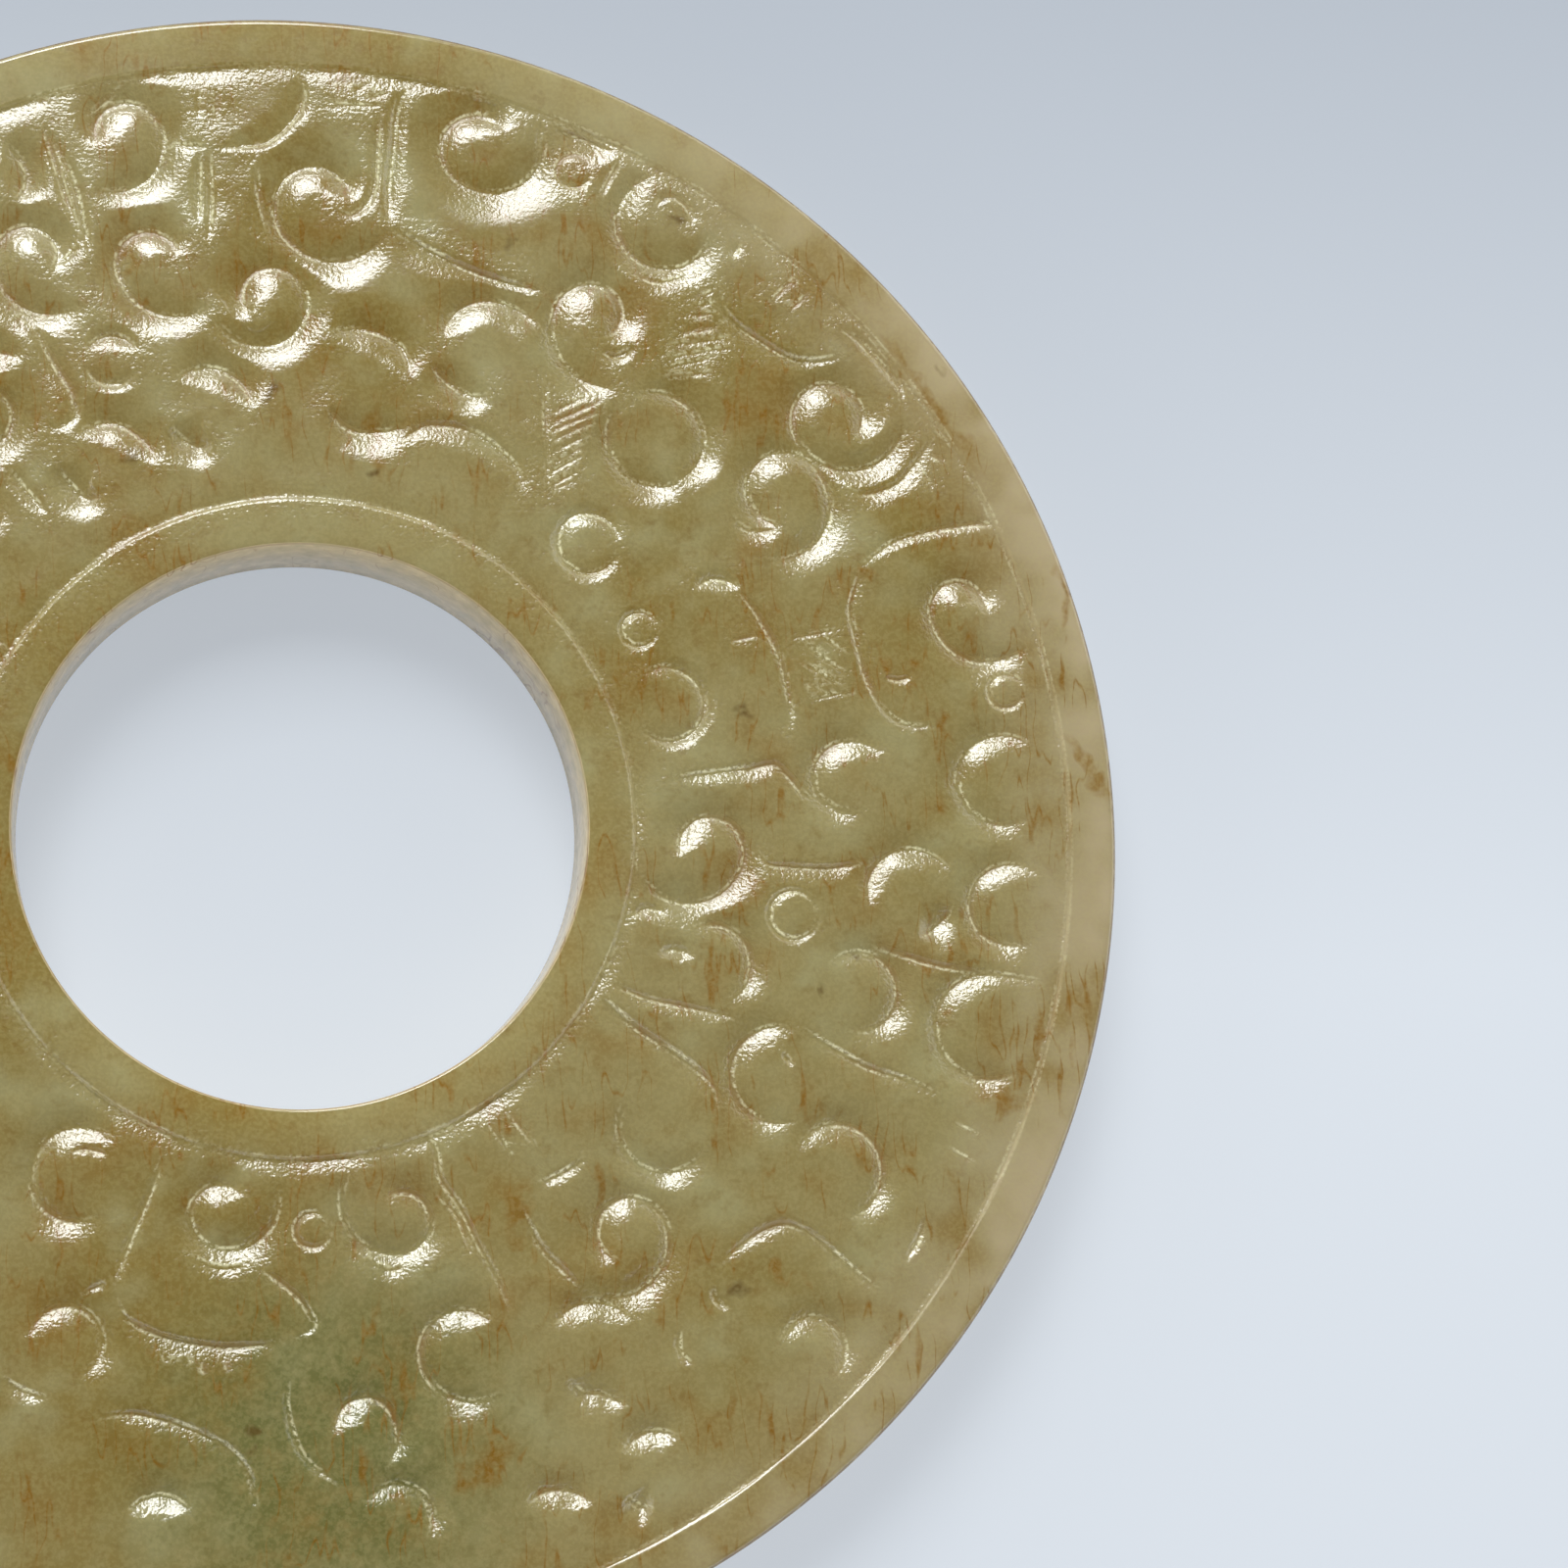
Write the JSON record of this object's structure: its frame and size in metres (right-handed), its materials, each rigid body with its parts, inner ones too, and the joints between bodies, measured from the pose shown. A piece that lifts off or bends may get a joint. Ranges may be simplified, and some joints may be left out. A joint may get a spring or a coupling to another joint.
{
  "type": "jade bi disc",
  "caption": "Flat ring of olive-green nephrite with plain rims and a field carved with interlaced curls and bands, to lie on its back.",
  "frame": {"origin": "centre of the hole, on the plane of the back that the disc lies on", "axes": "+Z out of the carved front face; +Y towards the top of the pictured view; +X to its right"},
  "size_m": [0.1, 0.1, 0.0066],
  "materials": {
    "jade": "olive yellow-green nephrite, slightly translucent, waxy polish, with brown veins, rust patches and dark dirt in the carving"
  },
  "bodies": {
    "root": {"bi_disc": "jade"}
  },
  "joints": []
}
